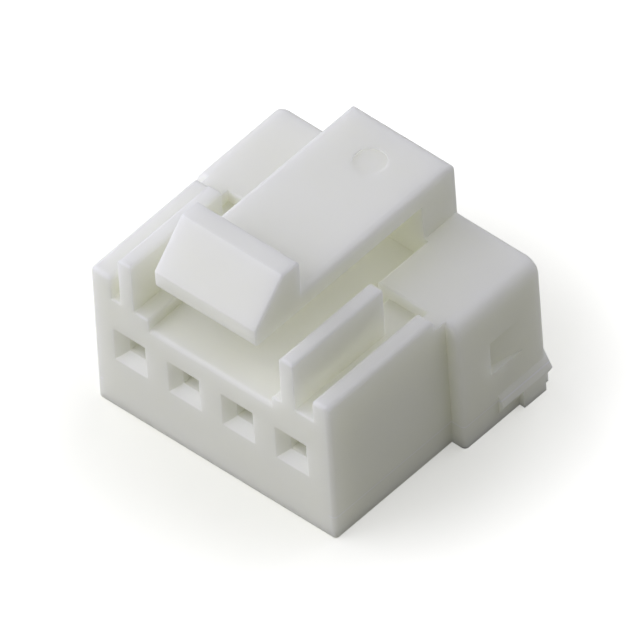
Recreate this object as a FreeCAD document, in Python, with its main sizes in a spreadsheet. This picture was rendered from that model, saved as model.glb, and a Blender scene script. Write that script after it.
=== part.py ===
import FreeCAD, Part
import os
import re

import Sketcher

# Four-way wire-side housing of a wire-to-board connector, moulded in one piece.
# X runs along the row of contacts, Y from the mating face to the wire side, Z up from the board side.
# Inside the body the mating face is Y = 0; the body's placement then centres the part over the origin.

# Each row: name, value in millimetres (or a count), meaning
DIMENSIONS = [
    ("circuits", 4, "number of contact cavities"),
    ("pitch", 2.0, "distance between neighbouring contacts"),
    ("row_shift", -0.08, "how far the contact row sits from the middle of the body"),
    ("end_margin", 1.43, "from the end contacts out to the sides of the mating section"),
    ("shoulder_step", 0.47, "how far the wire section stands out on each side"),
    ("mating_length", 4.87, "length of the narrow section that enters the header"),
    ("wire_length", 3.46, "length of the wider section on the wire side"),
    ("deck_width", 4.6, "width of the low deck under the latch"),
    ("cavity_roof", 0.5, "thickness of the deck over the contact cavities"),
    ("ledge_rise", 0.37, "from the deck up to the ledges and groove floors beside it"),
    ("shoulder_rise", 0.8, "from the deck up to the top of the wire section"),
    ("guard_rise", 0.39, "from the top of the wire section up to the top of the guard walls"),
    ("guard_setback", 0.43, "from the guard walls' high part back to the wire section"),
    ("left_guard_width", 0.78, "thickness of the left guard wall, which keys the housing"),
    ("right_guard_width", 0.61, "thickness of the right guard wall"),
    ("rib_rise", 2.14, "from the deck up to the top of the polarising ribs"),
    ("rib_length", 3.82, "length of the polarising ribs"),
    ("rib_width", 0.5, "thickness of the polarising ribs"),
    ("beam_width", 3.8, "width of the latch beam and its hook"),
    ("latch_shift", -0.05, "how far the latch sits from the middle of the body"),
    ("latch_gap", 2.02, "open height between the deck and the latch beam"),
    ("beam_thickness", 0.67, "thickness of the latch beam"),
    ("beam_slot", 0.1, "clearance between the latch beam and the shoulders beside it"),
    ("root_length", 1.42, "length of the solid root at the wire side"),
    ("hook_rise", 1.21, "from the top of the beam up to the hook's flat top"),
    ("hook_ridge", 1.24, "from the mating face back to the front edge of the hook's flat top"),
    ("hook_catch", 1.9, "from the mating face back to the catching face of the hook"),
    ("hook_lip", 0.58, "height of the upright lip under the hook's slant"),
    ("window_rise", 1.06, "from the cavity floor up to the middle of the pin windows"),
    ("window_width", 0.58, "side of the square pin window"),
    ("funnel_width", 1.22, "side of the square funnel in front of the pin window"),
    ("funnel_depth", 0.3, "depth of the funnel"),
    ("front_wall", 1.0, "thickness of the wall in front of the cavities"),
    ("cavity_floor", 1.5, "height of the cavity floor"),
    ("cavity_height", 2.0, "height of the contact cavity"),
    ("cavity_width", 1.5, "width of the contact cavity"),
    ("mouth_flare", 0.13, "how far the wire mouth widens on every side"),
    ("mouth_depth", 0.35, "depth of the widened wire mouth"),
    ("lance_start", 3.1, "from the mating face back to the front of the lance window"),
    ("lance_window_length", 2.7, "length of the window below the lance"),
    ("lance_window_width", 1.0, "width of the window below the lance"),
    ("lance_clearance", 0.17, "gap around the lance inside its window"),
    ("lance_thickness", 0.42, "thickness of the lance"),
    ("lance_rise", 0.32, "height of the lance's catch above the cavity floor"),
    ("lance_ramp", 1.0, "length of the ramp on the lance"),
    ("ridge_length", 2.03, "length of the flank ridge, which ends at the wire face"),
    ("nose_bottom", 0.31, "lower edge of the flank ridge"),
    ("nose_tip", 0.66, "height of the flank ridge's crest"),
    ("nose_top", 1.03, "upper edge of the flank ridge"),
    ("nose_reach", 0.2, "how far the flank ridge and the foot stand out"),
    ("foot_inset", 0.3, "from the wire face in to the rear of the foot"),
    ("foot_length", 0.9, "length of the foot below the flank ridge"),
    ("catch_inset", 0.91, "from the wire face in to the shallow end of the flank catch"),
    ("catch_length", 1.32, "length of the flank catch"),
    ("catch_drop", 1.56, "from the shoulder down to the upper edge of the flank catch"),
    ("catch_height", 1.24, "height of the flank catch"),
    ("catch_depth", 0.35, "depth of the flank catch at its deep end"),
    ("mark_diameter", 1.0, "diameter of the round ejector mark on the latch"),
    ("mark_depth", 0.04, "depth of the round ejector mark"),
    ("shoulder_round", 0.5, "rounding of the shoulders' outer top edges"),
    ("heel_round", 0.18, "rounding of the shoulders' rear top edges"),
    ("guard_round", 0.16, "rounding along the tops of the guard walls"),
    ("rib_round", 0.12, "rounding along the tops of the ribs"),
    ("beam_round", 0.24, "rounding along the top edges of the latch beam"),
    ("hook_round", 0.07, "rounding of the hook's edges"),
    ("deck_round", 0.16, "rounding of the deck's front edge"),
    ("corner_round", 0.14, "rounding of the upright outer corners"),
    ("base_round", 0.08, "rounding of the bottom edges"),
    ("step_round", 0.08, "rounding of the ledges, groove ends and shoulder fronts"),
    ("rim_round", 0.06, "rounding of the funnel rims"),
]

# Places that several features share, in terms of the dimensions
MATING_HALF = "(pitch * (circuits - 1) / 2 + end_margin)"
WIRE_HALF = f"({MATING_HALF} + shoulder_step)"
FIRST_CONTACT = "(row_shift - pitch * (circuits - 1) / 2)"
LAST_CONTACT = "(row_shift + pitch * (circuits - 1) / 2)"
MATING_SIDES = (f"-{MATING_HALF}", MATING_HALF)
WIRE_SIDES = (f"-{WIRE_HALF}", WIRE_HALF)
DECK_SIDES = ("-deck_width / 2", "deck_width / 2")
LATCH_SIDES = ("(latch_shift - beam_width / 2)", "(latch_shift + beam_width / 2)")
CHANNEL_SIDES = (f"({LATCH_SIDES[0]} - beam_slot)", f"({LATCH_SIDES[1]} + beam_slot)")
DECK_TOP = "(cavity_floor + cavity_height + cavity_roof)"
LEDGE_TOP = f"({DECK_TOP} + ledge_rise)"
SHOULDER_TOP = f"({DECK_TOP} + shoulder_rise)"
GUARD_TOP = f"({SHOULDER_TOP} + guard_rise)"
GUARD_END = "(mating_length - guard_setback)"
RIB_TOP = f"({DECK_TOP} + rib_rise)"
BEAM_BOTTOM = f"({DECK_TOP} + latch_gap)"
BEAM_TOP = f"({BEAM_BOTTOM} + beam_thickness)"
HOOK_TOP = f"({BEAM_TOP} + hook_rise)"
WINDOW_MIDDLE = "(cavity_floor + window_rise)"
BODY_LENGTH = "(mating_length + wire_length)"
ROOT_START = f"({BODY_LENGTH} - root_length)"
RIDGE_START = f"({BODY_LENGTH} - ridge_length)"
FOOT_START = f"({BODY_LENGTH} - foot_inset - foot_length)"
CATCH_START = f"({BODY_LENGTH} - catch_inset - catch_length)"
CATCH_BOTTOM = f"({SHOULDER_TOP} - catch_drop - catch_height)"
LANCE_TIP = "(lance_start + lance_clearance)"

ZERO = "0"

SHEET = "dims"
TOUCH = 1e-3


def make_sheet(doc):
    """The driving dimensions, one row each: name, value, meaning."""
    sheet = doc.addObject("Spreadsheet::Sheet", SHEET)
    for row, (alias, value, meaning) in enumerate(DIMENSIONS, start=1):
        sheet.set(f"A{row}", alias)
        sheet.set(f"B{row}", str(value))
        sheet.set(f"C{row}", meaning)
        sheet.setAlias(f"B{row}", alias)
    doc.recompute()
    return sheet


def bound(formula):
    """A formula in plain dimension names, with each name pointing at its cell."""
    return re.sub(r"[a-z_]+", lambda word: f"{SHEET}.{word.group()}", formula)


def size(body, formula):
    """The present value of a formula in dimension names."""
    return float(body.evalExpression(bound(formula)))


def origin_feature(body, role):
    """One of the body's own origin planes or axes."""
    return next(feature for feature in body.Origin.OriginFeatures if feature.Role == role)


def make_sketch(body, name, role, level):
    """An empty sketch on an origin plane, lifted along the plane's normal by a formula."""
    sketch = body.newObject("Sketcher::SketchObject", name)
    sketch.AttachmentSupport = [(origin_feature(body, role), "")]
    sketch.MapMode = "FlatFace"
    sketch.setExpression("AttachmentOffset.Base.z", bound(level))
    return sketch


def pin_point(sketch, line, end, across, up):
    """Holds one point of a sketch at two formulas, measured from the sketch's origin."""
    for kind, formula in (("DistanceX", across), ("DistanceY", up)):
        value = size(sketch, formula)
        number = sketch.addConstraint(Sketcher.Constraint(kind, -1, 1, line, end, value))
        sketch.setExpression(f"Constraints[{number}]", bound(formula))


def draw_outline(sketch, corners):
    """A closed outline of straight edges through corners given as pairs of formulas."""
    places = [FreeCAD.Vector(size(sketch, across), size(sketch, up), 0) for across, up in corners]
    first = sketch.GeometryCount
    for start, end in zip(places, places[1:] + places[:1]):
        sketch.addGeometry(Part.LineSegment(start, end), False)
    for index, (across, up) in enumerate(corners):
        line = first + index
        previous = first + (index - 1) % len(corners)
        sketch.addConstraint(Sketcher.Constraint("Coincident", previous, 2, line, 1))
        pin_point(sketch, line, 1, across, up)


def rectangle(low_across, high_across, low_up, high_up):
    """The corners of a rectangle, anticlockwise."""
    return [
        (low_across, low_up),
        (high_across, low_up),
        (high_across, high_up),
        (low_across, high_up),
    ]


def extrude(body, kind, name, sketch, length, away=False, both_ways=False):
    """Pads or pockets a sketch by a formula and makes sure that the body's volume changed."""
    body.Document.recompute()
    before = body.Shape.Volume if body.Tip and not body.Shape.isNull() else 0.0
    feature = body.newObject(f"PartDesign::{kind}", name)
    feature.Profile = sketch
    feature.Reversed = away
    feature.SideType = "Symmetric" if both_ways else "One side"
    feature.setExpression("Length", bound(length))
    sketch.Visibility = False
    body.Document.recompute()
    if abs(feature.Shape.Volume - before) < TOUCH:
        raise RuntimeError(f"{name} changes nothing")
    return feature


def pad_along_row(body, name, outlines, start, length):
    """Adds the front-view outlines, from start back towards the wire side."""
    sketch = make_sketch(body, f"{name}Sketch", "XZ_Plane", f"-({start})")
    for corners in outlines:
        draw_outline(sketch, corners)
    return extrude(body, "Pad", name, sketch, length, away=True)


def add_mating_section(body):
    """The narrow front block with its low deck between two ledges."""
    outline = [
        (f"-{MATING_HALF}", ZERO),
        (MATING_HALF, ZERO),
        (MATING_HALF, LEDGE_TOP),
        ("deck_width / 2", LEDGE_TOP),
        ("deck_width / 2", DECK_TOP),
        ("-deck_width / 2", DECK_TOP),
        ("-deck_width / 2", LEDGE_TOP),
        (f"-{MATING_HALF}", LEDGE_TOP),
    ]
    pad_along_row(body, "MatingSection", [outline], ZERO, "mating_length")


def add_wire_section(body):
    """The wider rear block and the channel that the latch beam runs in."""
    outline = rectangle(f"-{WIRE_HALF}", WIRE_HALF, ZERO, SHOULDER_TOP)
    pad_along_row(body, "WireSection", [outline], "mating_length", "wire_length")
    channel = make_sketch(body, "ChannelSketch", "XZ_Plane", "-mating_length")
    draw_outline(
        channel,
        rectangle(*CHANNEL_SIDES, DECK_TOP, f"{SHOULDER_TOP} + pitch"),
    )
    extrude(body, "Pocket", "Channel", channel, f"{ROOT_START} - mating_length")


def add_guard(body, name, inner_face, outwards, width):
    """One guard wall, from its side view: high beside the latch, then down to the shoulder."""
    side = make_sketch(body, f"{name}Sketch", "YZ_Plane", inner_face)
    draw_outline(
        side,
        [
            (ZERO, DECK_TOP),
            ("mating_length", DECK_TOP),
            ("mating_length", SHOULDER_TOP),
            (GUARD_END, SHOULDER_TOP),
            (GUARD_END, GUARD_TOP),
            (ZERO, GUARD_TOP),
        ],
    )
    extrude(body, "Pad", name, side, width, away=not outwards)


def add_guards(body):
    """The outer guard walls, of unequal thickness so that the housing goes in one way only."""
    left_face = f"-{MATING_HALF} + left_guard_width"
    right_face = f"{MATING_HALF} - right_guard_width"
    add_guard(body, "LeftGuard", left_face, False, "left_guard_width")
    add_guard(body, "RightGuard", right_face, True, "right_guard_width")


def add_ribs(body):
    """The two tall ribs, each over an end contact."""
    outlines = [
        rectangle(f"{place} - rib_width / 2", f"{place} + rib_width / 2", DECK_TOP, RIB_TOP)
        for place in (FIRST_CONTACT, LAST_CONTACT)
    ]
    pad_along_row(body, "Ribs", outlines, ZERO, "rib_length")


def add_latch(body):
    """The latch: a beam rooted at the wire side, with a slanted hook over the mating face."""
    beam_side = make_sketch(body, "LatchBeamSketch", "YZ_Plane", "latch_shift")
    draw_outline(
        beam_side,
        [
            ("hook_ridge", BEAM_BOTTOM),
            (ROOT_START, BEAM_BOTTOM),
            (ROOT_START, DECK_TOP),
            (BODY_LENGTH, DECK_TOP),
            (BODY_LENGTH, BEAM_TOP),
            ("hook_ridge", BEAM_TOP),
        ],
    )
    extrude(body, "Pad", "LatchBeam", beam_side, "beam_width", both_ways=True)
    hook_side = make_sketch(body, "LatchHookSketch", "YZ_Plane", "latch_shift")
    draw_outline(
        hook_side,
        [
            (ZERO, BEAM_BOTTOM),
            ("hook_catch", BEAM_BOTTOM),
            ("hook_catch", HOOK_TOP),
            ("hook_ridge", HOOK_TOP),
            (ZERO, f"{BEAM_BOTTOM} + hook_lip"),
        ],
    )
    extrude(body, "Pad", "LatchHook", hook_side, "beam_width", both_ways=True)


def square_at(place, width, height):
    """A square about a contact's axis, as front-view corners."""
    return rectangle(
        f"{place} - {width} / 2",
        f"{place} + {width} / 2",
        f"{height} - {width} / 2",
        f"{height} + {width} / 2",
    )


def cut_between(body, name, near_sketch, far_sketch):
    """Cuts a tapered opening whose ends are two sketches."""
    body.Document.recompute()
    before = body.Shape.Volume
    loft = body.newObject("PartDesign::SubtractiveLoft", name)
    loft.Profile = near_sketch
    loft.Sections = [far_sketch]
    loft.Ruled = True
    body.Document.recompute()
    if before - loft.Shape.Volume < TOUCH:
        raise RuntimeError(f"{name} cuts nothing")
    return loft


def cut_pin_window(body):
    """The square funnel in the mating face and the pin window behind it, for the first contact."""
    face = make_sketch(body, "FunnelFaceSketch", "XZ_Plane", ZERO)
    draw_outline(face, square_at(FIRST_CONTACT, "funnel_width", WINDOW_MIDDLE))
    throat = make_sketch(body, "FunnelThroatSketch", "XZ_Plane", "-funnel_depth")
    draw_outline(throat, square_at(FIRST_CONTACT, "window_width", WINDOW_MIDDLE))
    funnel = cut_between(body, "Funnel", face, throat)
    window = make_sketch(body, "PinWindowSketch", "XZ_Plane", "-funnel_depth")
    draw_outline(window, square_at(FIRST_CONTACT, "window_width", WINDOW_MIDDLE))
    return [funnel, extrude(body, "Pocket", "PinWindow", window, "front_wall")]


def cavity_corners(flare):
    """Front-view corners of the first cavity, grown on every side by a formula."""
    return rectangle(
        f"{FIRST_CONTACT} - cavity_width / 2 - {flare}",
        f"{FIRST_CONTACT} + cavity_width / 2 + {flare}",
        f"cavity_floor - {flare}",
        f"cavity_floor + cavity_height + {flare}",
    )


def cut_cavity(body):
    """The first contact cavity, open at the wire side through a flared mouth."""
    rear = make_sketch(body, "CavitySketch", "XZ_Plane", f"-{BODY_LENGTH}")
    draw_outline(rear, cavity_corners(ZERO))
    cavity = extrude(body, "Pocket", "Cavity", rear, f"{BODY_LENGTH} - front_wall", away=True)
    outer = make_sketch(body, "MouthOuterSketch", "XZ_Plane", f"-{BODY_LENGTH}")
    draw_outline(outer, cavity_corners("mouth_flare"))
    inner = make_sketch(body, "MouthInnerSketch", "XZ_Plane", f"-({BODY_LENGTH} - mouth_depth)")
    draw_outline(inner, cavity_corners(ZERO))
    return [cavity, cut_between(body, "WireMouth", outer, inner)]


def cut_lance_window(body):
    """The window through the floor below the first contact's lance."""
    window = make_sketch(body, "LanceWindowSketch", "XY_Plane", ZERO)
    draw_outline(
        window,
        rectangle(
            f"{FIRST_CONTACT} - lance_window_width / 2",
            f"{FIRST_CONTACT} + lance_window_width / 2",
            "lance_start",
            "lance_start + lance_window_length",
        ),
    )
    return [extrude(body, "Pocket", "LanceWindow", window, "cavity_floor + lance_rise", away=True)]


def add_lance(body):
    """The first contact's lance: a tongue in the floor whose ramp catches the contact."""
    side = make_sketch(body, "LanceSketch", "YZ_Plane", FIRST_CONTACT)
    draw_outline(
        side,
        [
            (LANCE_TIP, "cavity_floor - lance_thickness"),
            ("lance_start + lance_window_length", "cavity_floor - lance_thickness"),
            ("lance_start + lance_window_length", "cavity_floor"),
            (f"{LANCE_TIP} + lance_ramp", "cavity_floor"),
            (LANCE_TIP, "cavity_floor + lance_rise"),
        ],
    )
    width = "lance_window_width - 2 * lance_clearance"
    return [extrude(body, "Pad", "Lance", side, width, both_ways=True)]


def repeat_along_row(body, features):
    """Repeats the first contact's features at every pitch."""
    pattern = body.newObject("PartDesign::LinearPattern", "ContactRow")
    pattern.Originals = features
    pattern.Direction = (origin_feature(body, "X_Axis"), [""])
    pattern.Mode = "Spacing"
    pattern.setExpression("Offset", bound("pitch"))
    pattern.setExpression("Occurrences", bound("circuits"))
    body.Tip = pattern
    body.Document.recompute()


def add_flank(body):
    """One flank's guides: a ridge with a foot below it, and a ramped catch above."""
    ridge = [
        (f"{WIRE_HALF} - nose_reach", "nose_bottom"),
        (WIRE_HALF, "nose_bottom"),
        (f"{WIRE_HALF} + nose_reach", "nose_tip"),
        (WIRE_HALF, "nose_top"),
        (f"{WIRE_HALF} - nose_reach", "nose_top"),
    ]
    nose = pad_along_row(body, "FlankRidge", [ridge], RIDGE_START, "ridge_length")
    block = rectangle(
        f"{WIRE_HALF} - nose_reach", f"{WIRE_HALF} + nose_reach", ZERO, "nose_tip"
    )
    foot = pad_along_row(body, "Foot", [block], FOOT_START, "foot_length")
    catch = make_sketch(body, "FlankCatchSketch", "XY_Plane", CATCH_BOTTOM)
    draw_outline(
        catch,
        [
            (f"{WIRE_HALF} - catch_depth", CATCH_START),
            (f"{WIRE_HALF} + catch_depth", CATCH_START),
            (f"{WIRE_HALF} + catch_depth", f"{CATCH_START} + catch_length"),
            (WIRE_HALF, f"{CATCH_START} + catch_length"),
        ],
    )
    return [nose, foot, extrude(body, "Pocket", "FlankCatch", catch, "catch_height", away=True)]


def mirror_flank(body, features):
    """The same guides on the other flank."""
    mirror = body.newObject("PartDesign::Mirrored", "OtherFlank")
    mirror.Originals = features
    mirror.MirrorPlane = (origin_feature(body, "YZ_Plane"), [""])
    body.Tip = mirror
    body.Document.recompute()


def cut_ejector_mark(body):
    """The shallow round mark on top of the latch, over its root."""
    disc = make_sketch(body, "EjectorMarkSketch", "XY_Plane", BEAM_TOP)
    disc.addGeometry(Part.Circle(FreeCAD.Vector(0, 0, 0), FreeCAD.Vector(0, 0, 1), 1), False)
    radius = disc.addConstraint(Sketcher.Constraint("Radius", 0, size(disc, "mark_diameter / 2")))
    disc.setExpression(f"Constraints[{radius}]", bound("mark_diameter / 2"))
    pin_point(disc, 0, 3, "latch_shift", ROOT_START)
    extrude(body, "Pocket", "EjectorMark", disc, "mark_depth")


def edges_inside(body, low, high):
    """Names of the tip's straight edges that lie inside a box given as two triples of formulas."""
    low_corner = [size(body, formula) - TOUCH for formula in low]
    high_corner = [size(body, formula) + TOUCH for formula in high]

    def inside(point):
        return all(a <= value <= b for a, value, b in zip(low_corner, point, high_corner))

    return [
        f"Edge{number}"
        for number, edge in enumerate(body.Shape.Edges, start=1)
        if not edge.Degenerated
        and edge.Curve.TypeId == "Part::GeomLine"
        and all(inside(vertex.Point) for vertex in edge.Vertexes)
    ]


def round_edges(body, name, radius, boxes):
    """Rounds the straight edges inside each of the boxes, by a formula."""
    names = sorted({edge for low, high in boxes for edge in edges_inside(body, low, high)})
    if not names:
        raise RuntimeError(f"{name} finds no edges")
    base = body.Tip
    fillet = body.newObject("PartDesign::Fillet", name)
    fillet.Base = (base, names)
    fillet.setExpression("Radius", bound(radius))
    body.Document.recompute()
    return fillet


def at_sides(sides, low_rest, high_rest):
    """Two flat boxes, one at each of a pair of side planes."""
    return [((side, *low_rest), (side, *high_rest)) for side in sides]


def between(sides, low_rest, high_rest):
    """One box that reaches from the first of a pair of side planes to the second."""
    return [((sides[0], *low_rest), (sides[1], *high_rest))]


def round_shoulders(body):
    """The large rounding along the outer top of the wire section, and its softened rear edge."""
    outer = at_sides(WIRE_SIDES, ("mating_length", SHOULDER_TOP), (BODY_LENGTH, SHOULDER_TOP))
    round_edges(body, "ShoulderRounds", "shoulder_round", outer)
    heels = between(WIRE_SIDES, (BODY_LENGTH, SHOULDER_TOP), (BODY_LENGTH, SHOULDER_TOP))
    round_edges(body, "HeelRounds", "heel_round", heels)


def round_guards(body):
    """The soft tops of the guard walls."""
    left = (
        (f"-{MATING_HALF}", ZERO, GUARD_TOP),
        (f"-{MATING_HALF} + left_guard_width", GUARD_END, GUARD_TOP),
    )
    right = (
        (f"{MATING_HALF} - right_guard_width", ZERO, GUARD_TOP),
        (MATING_HALF, GUARD_END, GUARD_TOP),
    )
    round_edges(body, "GuardRounds", "guard_round", [left, right])
    corners = [
        ((across, along, low), (across, along, GUARD_TOP))
        for across in (f"-{MATING_HALF} + left_guard_width", f"{MATING_HALF} - right_guard_width")
        for along, low in ((ZERO, LEDGE_TOP), (GUARD_END, SHOULDER_TOP))
    ]
    round_edges(body, "GuardCorners", "step_round", corners)


def round_ribs(body):
    """The soft tops of the ribs."""
    boxes = [
        (
            (f"{place} - rib_width / 2", ZERO, RIB_TOP),
            (f"{place} + rib_width / 2", "rib_length", RIB_TOP),
        )
        for place in (FIRST_CONTACT, LAST_CONTACT)
    ]
    round_edges(body, "RibRounds", "rib_round", boxes)
    corners = [
        ((across, along, LEDGE_TOP), (across, along, RIB_TOP))
        for place in (FIRST_CONTACT, LAST_CONTACT)
        for across in (f"{place} - rib_width / 2", f"{place} + rib_width / 2")
        for along in (ZERO, "rib_length")
    ]
    round_edges(body, "RibCorners", "step_round", corners)


def round_latch(body):
    """The top edges of the beam, and the edges of the hook's slant and flat top."""
    sides = at_sides(LATCH_SIDES, ("hook_catch", BEAM_TOP), (BODY_LENGTH, BEAM_TOP))
    rear = between(LATCH_SIDES, (BODY_LENGTH, BEAM_TOP), (BODY_LENGTH, BEAM_TOP))
    round_edges(body, "BeamRounds", "beam_round", sides + rear)
    root_low = f"{SHOULDER_TOP} - heel_round"
    uprights = at_sides(LATCH_SIDES, (BODY_LENGTH, root_low), (BODY_LENGTH, BEAM_TOP))
    round_edges(body, "RootCorners", "step_round", uprights)
    undersides = at_sides(LATCH_SIDES, (ZERO, BEAM_BOTTOM), (ROOT_START, BEAM_BOTTOM))
    round_edges(body, "BeamUnderRounds", "step_round", undersides)
    lip_top = f"{BEAM_BOTTOM} + hook_lip"
    hook_top = between(LATCH_SIDES, ("hook_ridge", HOOK_TOP), ("hook_catch", HOOK_TOP))
    slants = at_sides(LATCH_SIDES, (ZERO, lip_top), ("hook_ridge", HOOK_TOP))
    round_edges(body, "HookRounds", "hook_round", slants + hook_top)
    lip = between(LATCH_SIDES, (ZERO, BEAM_BOTTOM), (ZERO, BEAM_BOTTOM))
    lip_sides = at_sides(LATCH_SIDES, (ZERO, BEAM_BOTTOM), (ZERO, lip_top))
    round_edges(body, "LipRounds", "step_round", lip_sides + lip)


def round_steps(body):
    """The ledges beside the deck, the front ends of the grooves and the fronts of the shoulders."""
    ledges = at_sides(DECK_SIDES, (ZERO, LEDGE_TOP), ("mating_length", LEDGE_TOP))
    grooves = [
        ((MATING_SIDES[0], ZERO, LEDGE_TOP), (DECK_SIDES[0], ZERO, LEDGE_TOP)),
        ((DECK_SIDES[1], ZERO, LEDGE_TOP), (MATING_SIDES[1], ZERO, LEDGE_TOP)),
    ]
    round_edges(body, "StepRounds", "step_round", ledges + grooves)
    fronts = [
        (
            (f"-{MATING_HALF} + left_guard_width", "mating_length", SHOULDER_TOP),
            (CHANNEL_SIDES[0], "mating_length", SHOULDER_TOP),
        ),
        (
            (CHANNEL_SIDES[1], "mating_length", SHOULDER_TOP),
            (f"{MATING_HALF} - right_guard_width", "mating_length", SHOULDER_TOP),
        ),
    ]
    channel = at_sides(CHANNEL_SIDES, ("mating_length", SHOULDER_TOP), (ROOT_START, SHOULDER_TOP))
    round_edges(body, "ShoulderFronts", "step_round", fronts + channel)


def round_rims(body):
    """The rims of the funnels in the mating face."""
    rims = (
        (f"{FIRST_CONTACT} - funnel_width / 2", ZERO, f"{WINDOW_MIDDLE} - funnel_width / 2"),
        (f"{LAST_CONTACT} + funnel_width / 2", ZERO, f"{WINDOW_MIDDLE} + funnel_width / 2"),
    )
    round_edges(body, "FunnelRims", "rim_round", [rims])


def round_block(body):
    """The deck's front edge, the upright corners and the bottom edges."""
    deck = between(DECK_SIDES, (ZERO, DECK_TOP), (ZERO, DECK_TOP))
    round_edges(body, "DeckRound", "deck_round", deck)
    front_corners = at_sides(MATING_SIDES, (ZERO, ZERO), (ZERO, GUARD_TOP))
    step_corners = at_sides(WIRE_SIDES, ("mating_length", ZERO), ("mating_length", SHOULDER_TOP))
    round_edges(body, "CornerRounds", "corner_round", front_corners + step_corners)
    front = between(MATING_SIDES, (ZERO, ZERO), (ZERO, ZERO))
    sides = at_sides(MATING_SIDES, (ZERO, ZERO), ("mating_length", ZERO))
    round_edges(body, "BaseRounds", "base_round", sides + front)


def build_housing(doc):
    """The whole moulding."""
    body = doc.addObject("PartDesign::Body", "housing")
    body.Label = "housing"
    add_mating_section(body)
    add_wire_section(body)
    add_guards(body)
    add_ribs(body)
    add_latch(body)
    contact = cut_pin_window(body) + cut_cavity(body) + cut_lance_window(body) + add_lance(body)
    repeat_along_row(body, contact)
    mirror_flank(body, add_flank(body))
    cut_ejector_mark(body)
    round_steps(body)
    round_shoulders(body)
    round_guards(body)
    round_ribs(body)
    round_latch(body)
    round_block(body)
    round_rims(body)
    body.setExpression("Placement.Base.y", bound(f"-{BODY_LENGTH} / 2"))
    doc.recompute()
    return body


def check(doc, pieces):
    """Stops the build where an object failed or a piece isn't one sound solid."""
    for item in doc.Objects:
        if {"Invalid", "Error"} & set(item.State):
            raise RuntimeError(f"{item.Name} failed: {item.State}")
    for piece in pieces:
        if piece.Shape.isNull() or not piece.Shape.isValid() or len(piece.Shape.Solids) != 1:
            raise RuntimeError(f"{piece.Label} is not one sound solid")


def main():
    """Builds the document and writes one file per piece."""
    doc = FreeCAD.newDocument("connector_housing")
    make_sheet(doc)
    pieces = [build_housing(doc)]
    check(doc, pieces)
    os.makedirs("parts", exist_ok=True)
    for piece in pieces:
        piece.Shape.exportStep(os.path.join("parts", f"{piece.Label}.step"))
        box = piece.Shape.BoundBox
        print(piece.Label, round(piece.Shape.Volume, 3), "mm3", box)


main()
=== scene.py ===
"""Looks of a moulded wire to board connector housing, laid out as a Blender add-on.

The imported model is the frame. The moulding is shown by a skin: the node's own surface with its
triangles joined, in natural nylon. A floor, soft lamps and a camera at the photo's angle
complete it.
"""

import math

import bmesh
import bpy
from bpy.props import FloatProperty, FloatVectorProperty, IntProperty, PointerProperty
from bpy.types import Operator, Panel, PropertyGroup
from mathutils import Matrix, Vector


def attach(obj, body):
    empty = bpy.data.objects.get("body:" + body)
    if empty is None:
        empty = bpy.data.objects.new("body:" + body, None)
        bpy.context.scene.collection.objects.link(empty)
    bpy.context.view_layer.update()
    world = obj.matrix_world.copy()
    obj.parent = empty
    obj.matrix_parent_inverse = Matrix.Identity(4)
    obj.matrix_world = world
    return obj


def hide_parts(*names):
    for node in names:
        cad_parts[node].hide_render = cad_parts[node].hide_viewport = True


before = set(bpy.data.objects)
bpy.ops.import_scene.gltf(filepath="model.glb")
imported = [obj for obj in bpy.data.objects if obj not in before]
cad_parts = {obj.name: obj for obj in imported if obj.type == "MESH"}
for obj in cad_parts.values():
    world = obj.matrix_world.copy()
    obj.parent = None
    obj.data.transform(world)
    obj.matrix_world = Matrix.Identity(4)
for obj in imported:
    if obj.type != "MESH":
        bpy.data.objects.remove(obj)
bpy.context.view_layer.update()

bl_info = {
    "name": "Connector housing",
    "version": (1, 0, 0),
    "blender": (4, 5, 0),
    "location": "View3D > Sidebar > Connector",
    "description": "Dresses a moulded connector housing and sets it on a plain stage",
    "category": "Object",
}

# Width of the photo in pixels, its pixels per metre as fitted, and the same as the view shows it
PHOTO_WIDTH = 640
FITTED_SCALE = 35873
SHOWN_SCALE = 36016

ROOT = "root"
NODE = "housing"

# Each soft lamp: name, direction from the part towards it, power in watts
LAMPS = [
    ("front_high", (0, -1, 1), 0.0231),
    ("front_left_high", (-1, -1, 1.4), 0.0518),
    ("front_left_low", (-1, -1, 0.35), 0.0303),
    ("left_low", (-1, 0, 0.25), 0.0535),
    ("back_high", (0, 1, 1), 0.0314),
    ("back_right_high", (1, 1, 1.4), 0.0253),
]


class MouldingSettings(PropertyGroup):
    """How the frame's surface is joined and shaded."""

    weld_distance: FloatProperty(
        name="Weld distance",
        description="Points of the frame's surface closer than this are one point",
        default=0.000001,
        precision=6,
        unit="LENGTH",
    )
    edge_angle: FloatProperty(
        name="Edge angle",
        description="Faces that meet at more than this angle are shaded apart",
        default=math.radians(24),
        subtype="ANGLE",
    )


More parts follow.
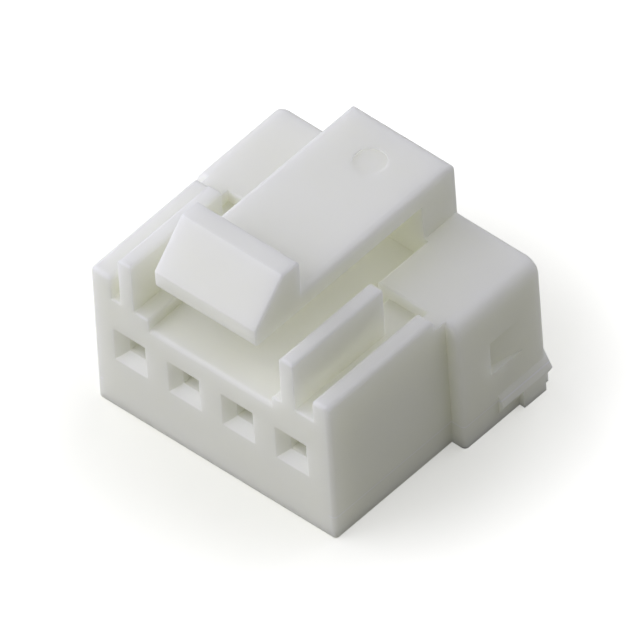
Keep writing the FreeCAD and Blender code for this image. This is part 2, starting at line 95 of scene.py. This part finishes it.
class NylonSettings(PropertyGroup):
    """Colours and finish of the natural nylon."""

    pale: FloatVectorProperty(
        name="Pale",
        description="Colour of the plain nylon",
        subtype="COLOR",
        size=3,
        default=(0.94, 0.94, 0.845),
    )
    warm: FloatVectorProperty(
        name="Warm",
        description="Colour where the nylon is a little thicker and yellower",
        subtype="COLOR",
        size=3,
        default=(0.93, 0.935, 0.825),
    )
    depth: FloatProperty(
        name="Light depth",
        description="How far light travels inside the nylon",
        default=0.0008,
        precision=5,
        unit="LENGTH",
    )
    roughness: FloatProperty(
        name="Roughness",
        description="Roughness of the moulded faces",
        default=0.42,
        min=0,
        max=1,
    )
    refraction: FloatProperty(
        name="Refraction",
        description="Index of refraction of nylon",
        default=1.53,
        min=1,
    )
    grain: FloatProperty(
        name="Grain",
        description="Size of the fine grain that the mould leaves",
        default=0.00005,
        precision=6,
        unit="LENGTH",
    )
    waviness: FloatProperty(
        name="Waviness",
        description="Length of the slow waves in the moulded faces",
        default=0.0016,
        precision=5,
        unit="LENGTH",
    )
    grain_share: FloatProperty(
        name="Grain share",
        description="Height of the grain as a share of the waves' height",
        default=0.02,
        min=0,
    )
    relief: FloatProperty(
        name="Relief",
        description="Height of the waves in the moulded faces",
        default=0.00003,
        precision=6,
        unit="LENGTH",
    )
    relief_strength: FloatProperty(
        name="Relief strength",
        description="How strongly the relief tilts the faces' shading",
        default=0.5,
        min=0,
        max=1,
    )
    seam_rise: FloatProperty(
        name="Seam rise",
        description="Height of the seam as a share of the waves' height",
        default=0.4,
        min=0,
    )
    # Lighter colour painted along the seam as a highlight of its raised edge; the seam's relief is
    # a real bump
    seam_highlight_colour: FloatVectorProperty(
        name="Seam colour",
        description="Colour of the faint line where the mould halves meet on the flanks",
        subtype="COLOR",
        size=3,
        default=(1.0, 1.0, 0.95),
    )
    seam_inset: FloatProperty(
        name="Seam inset",
        description="Distance from the middle beyond which the seam shows, so on the flanks alone",
        default=0.0042,
        precision=5,
        unit="LENGTH",
    )
    seam_height: FloatProperty(
        name="Seam height",
        description="Height of the faint line where the mould halves meet",
        default=0.00084,
        precision=5,
        unit="LENGTH",
    )
    seam_width: FloatProperty(
        name="Seam width",
        description="Width of the faint line where the mould halves meet",
        default=0.00004,
        precision=5,
        unit="LENGTH",
    )


class StageSettings(PropertyGroup):
    """The floor, the light and the camera."""

    floor_size: FloatProperty(
        name="Floor size",
        description="Side of the square floor",
        default=1.2,
        unit="LENGTH",
    )
    floor_colour: FloatVectorProperty(
        name="Floor colour",
        description="Colour of the floor as the object sees it",
        subtype="COLOR",
        size=3,
        default=(0.65, 0.65, 0.53),
    )
    floor_seen: FloatVectorProperty(
        name="Floor seen",
        description="Colour of the floor as the camera sees it, which evens out the lamps' tint",
        subtype="COLOR",
        size=3,
        default=(0.7, 0.7, 0.62),
    )
    floor_lift: FloatProperty(
        name="Floor lift",
        description="Light that the camera sees on the floor beside the object, besides the lamps'",
        default=0.4,
        min=0,
    )
    fade_start: FloatProperty(
        name="Fade start",
        description="Distance from the frame's origin at which the floor starts to pale",
        default=0.004,
        precision=4,
        unit="LENGTH",
    )
    fade_end: FloatProperty(
        name="Fade end",
        description="Distance from the frame's origin at which the floor is plain white",
        default=0.014,
        precision=4,
        unit="LENGTH",
    )
    lamp_size: FloatProperty(
        name="Lamp size",
        description="Side of each softbox",
        default=0.09,
        unit="LENGTH",
    )
    lamp_distance: FloatProperty(
        name="Lamp distance",
        description="Distance of each softbox from the object",
        default=0.12,
        unit="LENGTH",
    )
    lamp_tint: FloatVectorProperty(
        name="Lamp tint",
        description="Colour of the lamps",
        subtype="COLOR",
        size=3,
        default=(0.883, 0.883, 1.0),
    )
    light_bounces: IntProperty(
        name="Light bounces",
        description="How often light passes on between the pale faces",
        default=12,
        min=0,
    )
    surround: FloatProperty(
        name="Surround",
        description="Strength of the even light from all round",
        default=0.1,
        min=0,
    )
    azimuth: FloatProperty(
        name="Azimuth",
        description="Camera's turn from the mating face towards the right flank",
        default=math.radians(44.56),
        subtype="ANGLE",
    )
    elevation: FloatProperty(
        name="Elevation",
        description="Camera's height above the horizon",
        default=math.radians(45.889),
        subtype="ANGLE",
    )
    roll: FloatProperty(
        name="Roll",
        description="Camera's tilt about its own line of sight",
        default=math.radians(-3.959),
        subtype="ANGLE",
    )
    view_width: FloatProperty(
        name="View width",
        description="Width of what the camera sees",
        default=PHOTO_WIDTH / SHOWN_SCALE,
        precision=5,
        unit="LENGTH",
    )
    view_right: FloatProperty(
        name="View right",
        description="How far right of the frame's origin the picture's middle lies",
        default=2.84 / FITTED_SCALE,
        precision=6,
        unit="LENGTH",
    )
    view_up: FloatProperty(
        name="View up",
        description="How far above the frame's origin the picture's middle lies",
        default=64.0 / FITTED_SCALE,
        precision=6,
        unit="LENGTH",
    )
    camera_distance: FloatProperty(
        name="Camera distance",
        description="Distance of the camera from the object",
        default=0.2,
        unit="LENGTH",
    )


def add_node(tree, kind, inputs=None, **settings):
    """A shader node with its settings and its inputs, each found by its name or number.

    An input is a value or another node's output.
    """
    node = tree.nodes.new(kind)
    for name, value in settings.items():
        setattr(node, name, value)
    for name, value in (inputs or {}).items():
        socket = node.inputs[name]
        if isinstance(value, bpy.types.NodeSocket):
            tree.links.new(value, socket)
        else:
            socket.default_value = value
    return node


def new_group(name, inputs, outputs):
    """An empty node group with named sockets, and its input and output nodes."""
    group = bpy.data.node_groups.new(name, "ShaderNodeTree")
    for label, kind, value in inputs:
        socket = group.interface.new_socket(label, in_out="INPUT", socket_type=kind)
        if value is not None:
            socket.default_value = value
    for label, kind in outputs:
        group.interface.new_socket(label, in_out="OUTPUT", socket_type=kind)
    return group, group.nodes.new("NodeGroupInput"), group.nodes.new("NodeGroupOutput")


def wave_group():
    """Slow waves and fine grain of a moulded face, as one height and one share.

    Height is the slow noise plus a small share of the fine noise. Share is the slow noise alone.
    """
    group, given, result = new_group(
        "moulded_face",
        [
            ("Place", "NodeSocketVector", None),
            ("Waves", "NodeSocketFloat", 600.0),
            ("Grain", "NodeSocketFloat", 20000.0),
            ("Grain share", "NodeSocketFloat", 0.02),
        ],
        [("Height", "NodeSocketFloat"), ("Share", "NodeSocketFloat")],
    )
    noises = [
        add_node(
            group,
            "ShaderNodeTexNoise",
            {"Vector": given.outputs["Place"], "Scale": given.outputs[scale], "Detail": detail},
        )
        for scale, detail in (("Waves", 1.0), ("Grain", 2.0))
    ]
    slow, fine = (noise.outputs["Fac"] for noise in noises)
    total = add_node(
        group,
        "ShaderNodeMath",
        {0: fine, 1: given.outputs["Grain share"], 2: slow},
        operation="MULTIPLY_ADD",
    )
    group.links.new(total.outputs[0], result.inputs["Height"])
    group.links.new(slow, result.inputs["Share"])
    return group


def seam_and_highlight_mask(tree, place, settings):
    """One on the thin line round the flanks where the mould halves meet, nought elsewhere.

    The line is where the height is within half the seam's width of the seam's height and the
    distance from the middle is more than the seam's inset. The mask sets both the seam's real
    relief and the lighter colour painted along it as a highlight.
    """
    split = add_node(tree, "ShaderNodeSeparateXYZ", {"Vector": place})
    level = add_node(
        tree,
        "ShaderNodeMath",
        {0: split.outputs["Z"], 1: settings.seam_height, 2: settings.seam_width / 2},
        operation="COMPARE",
    )
    aside = add_node(tree, "ShaderNodeMath", {0: split.outputs["X"]}, operation="ABSOLUTE")
    flank = add_node(
        tree,
        "ShaderNodeMath",
        {0: aside.outputs[0], 1: settings.seam_inset},
        operation="GREATER_THAN",
    )
    seam = add_node(
        tree,
        "ShaderNodeMath",
        {0: level.outputs[0], 1: flank.outputs[0]},
        operation="MULTIPLY",
    )
    return seam.outputs[0]


def nylon_material(settings):
    """Natural nylon: off-white, light passing a little way in, soft sheen, faint mould seam with a
    painted highlight along it.
    """
    material = bpy.data.materials.new("natural_nylon")
    material.use_nodes = True
    tree = material.node_tree
    shader = tree.nodes["Principled BSDF"]
    place = add_node(tree, "ShaderNodeTexCoord").outputs["Object"]
    face = tree.nodes.new("ShaderNodeGroup")
    face.node_tree = wave_group()
    tree.links.new(place, face.inputs["Place"])
    face.inputs["Waves"].default_value = 1 / settings.waviness
    face.inputs["Grain"].default_value = 1 / settings.grain
    face.inputs["Grain share"].default_value = settings.grain_share
    seam = seam_and_highlight_mask(tree, place, settings)
    tint = add_node(
        tree,
        "ShaderNodeMix",
        {
            "Factor": face.outputs["Share"],
            "A": (*settings.pale, 1),
            "B": (*settings.warm, 1),
        },
        data_type="RGBA",
    )
    # Painted highlight: the seam line is mixed to a lighter colour, besides its real bump below
    with_seam_highlight = add_node(
        tree,
        "ShaderNodeMix",
        {"Factor": seam, "A": tint.outputs["Result"], "B": (*settings.seam_highlight_colour, 1)},
        data_type="RGBA",
    )
    height = add_node(
        tree,
        "ShaderNodeMath",
        {0: seam, 1: settings.seam_rise, 2: face.outputs["Height"]},
        operation="MULTIPLY_ADD",
    )
    bump = add_node(
        tree,
        "ShaderNodeBump",
        {
            "Height": height.outputs[0],
            "Strength": settings.relief_strength,
            "Distance": settings.relief,
        },
    )
    tree.links.new(with_seam_highlight.outputs["Result"], shader.inputs["Base Color"])
    tree.links.new(bump.outputs["Normal"], shader.inputs["Normal"])
    shader.inputs["Roughness"].default_value = settings.roughness
    shader.inputs["IOR"].default_value = settings.refraction
    shader.inputs["Subsurface Weight"].default_value = 1.0
    shader.inputs["Subsurface Radius"].default_value = (1.0, 1.0, 1.0)
    shader.inputs["Subsurface Scale"].default_value = settings.depth
    return material


def joined_skin(source, settings):
    """The node's surface with its loose triangles joined, smooth but for its sharp edges.

    Where a flat face runs into a rounding, the large face's normal counts most, so that it
    is lit as flat.
    """
    mesh = source.data.copy()
    mesh.name = "moulding"
    work = bmesh.new()
    work.from_mesh(mesh)
    bmesh.ops.remove_doubles(work, verts=work.verts, dist=settings.weld_distance)
    for face in work.faces:
        face.smooth = True
    for edge in work.edges:
        edge.smooth = edge.calc_face_angle(0) < settings.edge_angle
    work.to_mesh(mesh)
    work.free()
    mesh.materials.clear()
    skin = bpy.data.objects.new("moulding", mesh)
    bpy.context.scene.collection.objects.link(skin)
    flats = skin.modifiers.new("flats", "WEIGHTED_NORMAL")
    flats.keep_sharp = True
    return skin


class CONNECTOR_OT_moulding(Operator):
    """Shows the moulding by its own joined surface, in natural nylon."""

    bl_idname = "connector.moulding"
    bl_label = "Moulding"

    def execute(self, context):
        scene = context.scene
        skin = joined_skin(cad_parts[NODE], scene.connector_moulding)
        skin.data.materials.append(nylon_material(scene.connector_nylon))
        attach(skin, ROOT)
        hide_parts(NODE)
        return {"FINISHED"}


def floor_material(settings):
    """White to the camera, with the object's soft shadow, and a plain pale colour to the object.

    The camera sees a matte colour plus a lift that grows with the distance from the object.
    """
    material = bpy.data.materials.new("plain_floor")
    material.use_nodes = True
    tree = material.node_tree
    tree.nodes.clear()
    seen = add_node(tree, "ShaderNodeLightPath").outputs["Is Camera Ray"]
    place = add_node(tree, "ShaderNodeTexCoord").outputs["Object"]
    reach = add_node(tree, "ShaderNodeVectorMath", {0: place}, operation="LENGTH")
    lift = add_node(
        tree,
        "ShaderNodeMapRange",
        {
            "Value": reach.outputs["Value"],
            "From Min": settings.fade_start,
            "From Max": settings.fade_end,
            "To Min": settings.floor_lift,
            "To Max": 1.0,
        },
        interpolation_type="SMOOTHSTEP",
    )
    plain = add_node(tree, "ShaderNodeBsdfDiffuse", {"Color": (*settings.floor_colour, 1)})
    matte = add_node(tree, "ShaderNodeBsdfDiffuse", {"Color": (*settings.floor_seen, 1)})
    glow = add_node(tree, "ShaderNodeEmission", {"Strength": lift.outputs["Result"]})
    both = add_node(tree, "ShaderNodeAddShader", {0: matte.outputs[0], 1: glow.outputs[0]})
    pick = add_node(
        tree, "ShaderNodeMixShader", {0: seen, 1: plain.outputs[0], 2: both.outputs[0]}
    )
    out = tree.nodes.new("ShaderNodeOutputMaterial")
    tree.links.new(pick.outputs[0], out.inputs["Surface"])
    return material


def white_world(surround):
    """White to the camera, an even soft light to the object."""
    world = bpy.data.worlds.new("surround")
    world.use_nodes = True
    tree = world.node_tree
    backdrop = tree.nodes["Background"]
    backdrop.inputs["Color"].default_value = (1, 1, 1, 1)
    seen = add_node(tree, "ShaderNodeLightPath").outputs["Is Camera Ray"]
    level = add_node(
        tree, "ShaderNodeMapRange", {"Value": seen, "To Min": surround, "To Max": 1.0}
    )
    tree.links.new(level.outputs["Result"], backdrop.inputs["Strength"])
    return world


def soft_lamp(name, direction, power, settings):
    """A square softbox that faces the object from a direction."""
    light = bpy.data.lights.new(name, "AREA")
    light.size = settings.lamp_size
    light.energy = power
    light.color = settings.lamp_tint
    lamp = bpy.data.objects.new(name, light)
    bpy.context.scene.collection.objects.link(lamp)
    towards = Vector(direction).normalized()
    lamp.location = towards * settings.lamp_distance
    lamp.rotation_mode = "QUATERNION"
    lamp.rotation_quaternion = towards.to_track_quat("Z", "Y")


class CONNECTOR_OT_stage(Operator):
    """Lays the floor and sets the softboxes and the light from all round."""

    bl_idname = "connector.stage"
    bl_label = "Stage"

    def execute(self, context):
        settings = context.scene.connector_stage
        half = settings.floor_size / 2
        mesh = bpy.data.meshes.new("floor")
        corners = [(-half, -half, 0), (half, -half, 0), (half, half, 0), (-half, half, 0)]
        mesh.from_pydata(corners, [], [(0, 1, 2, 3)])
        floor = bpy.data.objects.new("floor", mesh)
        context.scene.collection.objects.link(floor)
        mesh.materials.append(floor_material(settings))
        for name, direction, power in LAMPS:
            soft_lamp(name, direction, power, settings)
        context.scene.world = white_world(settings.surround)
        context.scene.view_settings.view_transform = "Standard"
        context.scene.cycles.diffuse_bounces = settings.light_bounces
        context.scene.cycles.max_bounces = settings.light_bounces
        return {"FINISHED"}


def camera_axes(azimuth, elevation, roll):
    """Right, up and back of a camera that looks at the origin from an azimuth and elevation.

    Back points from the object to the camera. Right and up turn about it by the roll.
    """
    back = Vector(
        (
            math.sin(azimuth) * math.cos(elevation),
            -math.cos(azimuth) * math.cos(elevation),
            math.sin(elevation),
        )
    )
    level = Vector((0, 0, 1)).cross(back).normalized()
    rise = back.cross(level)
    right = level * math.cos(roll) + rise * math.sin(roll)
    up = rise * math.cos(roll) - level * math.sin(roll)
    return right, up, back


class CONNECTOR_OT_camera(Operator):
    """Puts the camera at the photo's viewing angle."""

    bl_idname = "connector.camera"
    bl_label = "Camera"

    def execute(self, context):
        settings = context.scene.connector_stage
        right, up, back = camera_axes(settings.azimuth, settings.elevation, settings.roll)
        data = bpy.data.cameras.new("camera")
        data.type = "ORTHO"
        data.ortho_scale = settings.view_width
        data.clip_start = settings.camera_distance / 100
        data.clip_end = settings.camera_distance * 100
        camera = bpy.data.objects.new("camera", data)
        context.scene.collection.objects.link(camera)
        place = (
            right * settings.view_right
            + up * settings.view_up
            + back * settings.camera_distance
        )
        turn = Matrix((right, up, back)).transposed()
        camera.matrix_world = Matrix.Translation(place) @ turn.to_4x4()
        context.scene.camera = camera
        return {"FINISHED"}


class CONNECTOR_PT_panel(Panel):
    """Lists the operators in the 3D view's sidebar."""

    bl_idname = "CONNECTOR_PT_panel"
    bl_label = "Connector housing"
    bl_space_type = "VIEW_3D"
    bl_region_type = "UI"
    bl_category = "Connector"

    def draw(self, context):
        for operator in (CONNECTOR_OT_moulding, CONNECTOR_OT_stage, CONNECTOR_OT_camera):
            self.layout.operator(operator.bl_idname)


CLASSES = (
    MouldingSettings,
    NylonSettings,
    StageSettings,
    CONNECTOR_OT_moulding,
    CONNECTOR_OT_stage,
    CONNECTOR_OT_camera,
    CONNECTOR_PT_panel,
)


def register():
    for item in CLASSES:
        bpy.utils.register_class(item)
    bpy.types.Scene.connector_moulding = PointerProperty(type=MouldingSettings)
    bpy.types.Scene.connector_nylon = PointerProperty(type=NylonSettings)
    bpy.types.Scene.connector_stage = PointerProperty(type=StageSettings)


def unregister():
    del bpy.types.Scene.connector_stage
    del bpy.types.Scene.connector_nylon
    del bpy.types.Scene.connector_moulding
    for item in reversed(CLASSES):
        bpy.utils.unregister_class(item)


def main():
    """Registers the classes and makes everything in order."""
    register()
    bpy.ops.connector.moulding()
    bpy.ops.connector.stage()
    bpy.ops.connector.camera()


if __name__ == "__main__":
    main()
